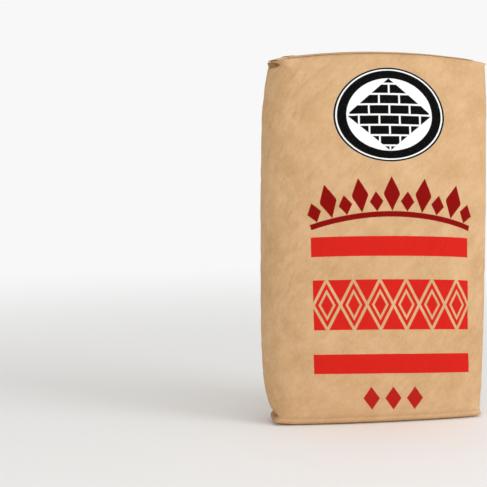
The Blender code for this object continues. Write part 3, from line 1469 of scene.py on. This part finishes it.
@dataclass
class ValveSleeve:
    """The flat paper tube through which the sack was filled, at the left end of the top."""

    form: SackForm
    width: float = 0.060
    inner: float = -0.146
    outer: float = -0.1845
    ply: float = 0.0003
    slit: float = 0.0005
    gap: float = 0.0003
    notch: float = 0.010
    notch_half_width: float = 0.016
    top_zone: float = 0.60
    rim_inside: float = 0.013
    droop: float = 0.15
    steps: int = 14
    stations: int = 12
    colour: Triple = (0.700, 0.480, 0.290)

    def ring(self, inset: float) -> Array:
        """The points round a flattened tube, by y and height above the paper.

        Args:
            inset: How far inside the outer skin the ring runs.

        Returns:
            The points, first along the lower ply and then back along the upper ply.
        """
        half = self.width / 2 - inset
        across = np.linspace(-half, half, self.steps + 1)
        low = np.full_like(across, inset)
        high = np.full_like(across, 2 * self.ply + self.slit - inset)
        return np.column_stack((np.append(across, across[::-1]), np.append(low, high)))

    def reach(self, y: float, upper: bool) -> float:
        """Where the sleeve ends, which has a thumb notch in its upper ply."""
        cut = self.notch * max(0.0, 1 - (y / self.notch_half_width) ** 2) ** 0.5
        return self.outer + self.form.shift(self.form.height) + (cut if upper else 0.0)

    def skin(self, shape: bmesh.types.BMesh, sack: Mesh, inset: float) -> list[list]:
        """The rings of points of one skin of the sleeve, from its inner to its outer end.

        Args:
            shape: The shape that gets the points.
            sack: The sack's mesh, on which the sleeve lies.
            inset: How far inside the outer skin it runs.

        Returns:
            The points of each ring.
        """
        points = read_points(sack)
        surface = BVHTree.FromPolygons([Vector(p) for p in points],
                                       [tuple(face.vertices) for face in sack.polygons])
        rim = float(points[points[:, 2] > self.top_zone][:, 0].min()) + self.rim_inside
        rings = []
        for share in (station / self.stations for station in range(self.stations + 1)):
            ring = []
            for index, (y, up) in enumerate(self.ring(inset)):
                x = self.inner + (self.reach(y, index > self.steps) - self.inner) * share
                hit = surface.ray_cast(Vector((max(x, rim), y, ABOVE)), Vector((0, 0, -1)))[0]
                level = hit.z + self.gap + up - self.droop * max(rim - x, 0.0)
                ring.append(shape.verts.new((x, y, level)))
            rings.append(ring)
        return rings

    def build(self, sack: Item) -> Item:
        """Make the sleeve on the sack's top.

        Args:
            sack: The crumpled sack.

        Returns:
            The sleeve.
        """
        shape = bmesh.new()
        outer, inner = (self.skin(shape, sack.data, inset) for inset in (0.0, self.ply))
        rings = outer + inner[::-1]
        for first, second in zip(rings, rings[1:] + rings[:1]):
            for i in range(len(first)):
                shape.faces.new((first[i - 1], first[i], second[i], second[i - 1]))
        bmesh.ops.recalc_face_normals(shape, faces=shape.faces)
        item = add_shape("valve_sleeve_paper", shape)
        shade_paper(item.data)
        item.data.materials.append(KraftFinish("valve_kraft", self.colour).material())
        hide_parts("valve_sleeve")
        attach(item, "root")
        return item


@dataclass
class FoldedEnds:
    """The glued papers on the folded ends: flaps, cover patches and the long seam.

    Pairs are for the bottom and the top end.
    """

    form: SackForm
    laid_from: Pair = (BELOW, ABOVE)
    laid_up: Pair = (-1.0, 1.0)
    cover_width: float = 0.088
    cover_bow: float = 0.17
    cover_paper: float = 0.0008
    cover_border: Pair = (0.034, 0.028)
    cover_gap: Pair = (0.0003, 0.0006)
    colour: Triple = (0.590, 0.372, 0.200)
    flap_width: float = 0.040
    flap_bow: float = 0.20
    flap_from: float = 0.002
    flap_gap: float = 0.00005
    flap_taper: float = 0.24
    flap_border: Pair = (0.038, 0.016)
    flap_paper: Pair = (0.00018, 0.00035)

    def sheet(self, end: End, border: Pair, y: float = 0.0, along: float = 1.0, **sizes: float
              ) -> LaidSheet:
        """A sheet on an end of the sack.

        Args:
            end: The end.
            border: How far it stops short of each side fold.
            y: Where its middle lies.
            along: 1.0 if its length runs to the right, or -1.0 to the left.
            sizes: Its other sizes.

        Returns:
            The sheet.
        """
        i = end.value
        return LaidSheet(
            length=self.form.ends.width[i] - 2 * border[i],
            middle=(float(self.form.shift(self.form.height * i)), y, self.laid_from[i]),
            along=(along, 0.0, 0.0), away=(0.0, 0.0, self.laid_up[i]), **sizes,
        )

    def flaps(self, end: End) -> list[LaidSheet]:
        """The two long flaps of an end, whose slanted ends show beside the cover patch.

        Args:
            end: The end.

        Returns:
            The flaps.
        """
        line = self.flap_width / 2 + self.flap_from
        return [self.sheet(
            end, self.flap_border, side * line, -side * self.laid_up[end.value],
            width=self.flap_width, bow=self.flap_bow, bow_line=line, gap=self.flap_gap,
            thickness=self.flap_paper[end.value], taper=self.flap_taper, fade=1.0,
        ) for side in (1.0, -1.0)]

    def cover(self, end: End) -> LaidSheet:
        """The cover patch of an end."""
        return self.sheet(end, self.cover_border, width=self.cover_width, bow=self.cover_bow,
                          gap=self.cover_gap[end.value], thickness=self.cover_paper)

    def seam(self) -> LaidSheet:
        """The glued overlap that runs up the back of the paper tube."""
        return LaidSheet(
            length=0.606, width=0.046, middle=(0.062, 0.3, 0.318), along=(0.0, 0.0, 1.0),
            away=(0.0, 1.0, 0.0), gap=0.0002, thickness=0.0008, fade=0.8, cell=0.005,
        )

    def build(self, sack: Item, sleeve: Item) -> None:
        """Lay the papers on the sack.

        Args:
            sack: The crumpled sack.
            sleeve: The valve sleeve, which the top cover patch overlaps.
        """
        tree = LaidSheet.tree()
        kraft = sack.data.materials[0]
        parts = [sheet for end in End for sheet in self.flaps(end)] + [self.seam()]
        laid = [sheet.lay(f"glued_paper_{i}", tree, [sack], kraft) for i, sheet in enumerate(parts)]
        patch_paper = KraftFinish("cover_kraft", self.colour).material()
        for end, under in ((End.BOTTOM, [sack]), (End.TOP, [sack, sleeve])):
            name = end.name.lower()
            patch = self.cover(end).lay(f"{name}_cover_paper", tree, under, patch_paper)
            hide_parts(f"{name}_cover_patch")
            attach(patch, "root")
            log.info("%s cover patch: %d faces", name, len(patch.data.polygons))
        join_into(sack, laid)


def main() -> None:
    """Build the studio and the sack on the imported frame."""
    logging.basicConfig(level=logging.INFO, format="%(name)s: %(message)s")
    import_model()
    form = SackForm()
    sack = PaperSack(form)
    sack.build()
    sleeve = ValveSleeve(form).build(sack.item)
    log.info("valve sleeve: %d faces", len(sleeve.data.polygons))
    FoldedEnds(form).build(sack.item, sleeve)
    sack.declare()
    log.info("sack: %d faces", len(sack.item.data.polygons))
    Studio().build()


if __name__ == "__main__":
    main()
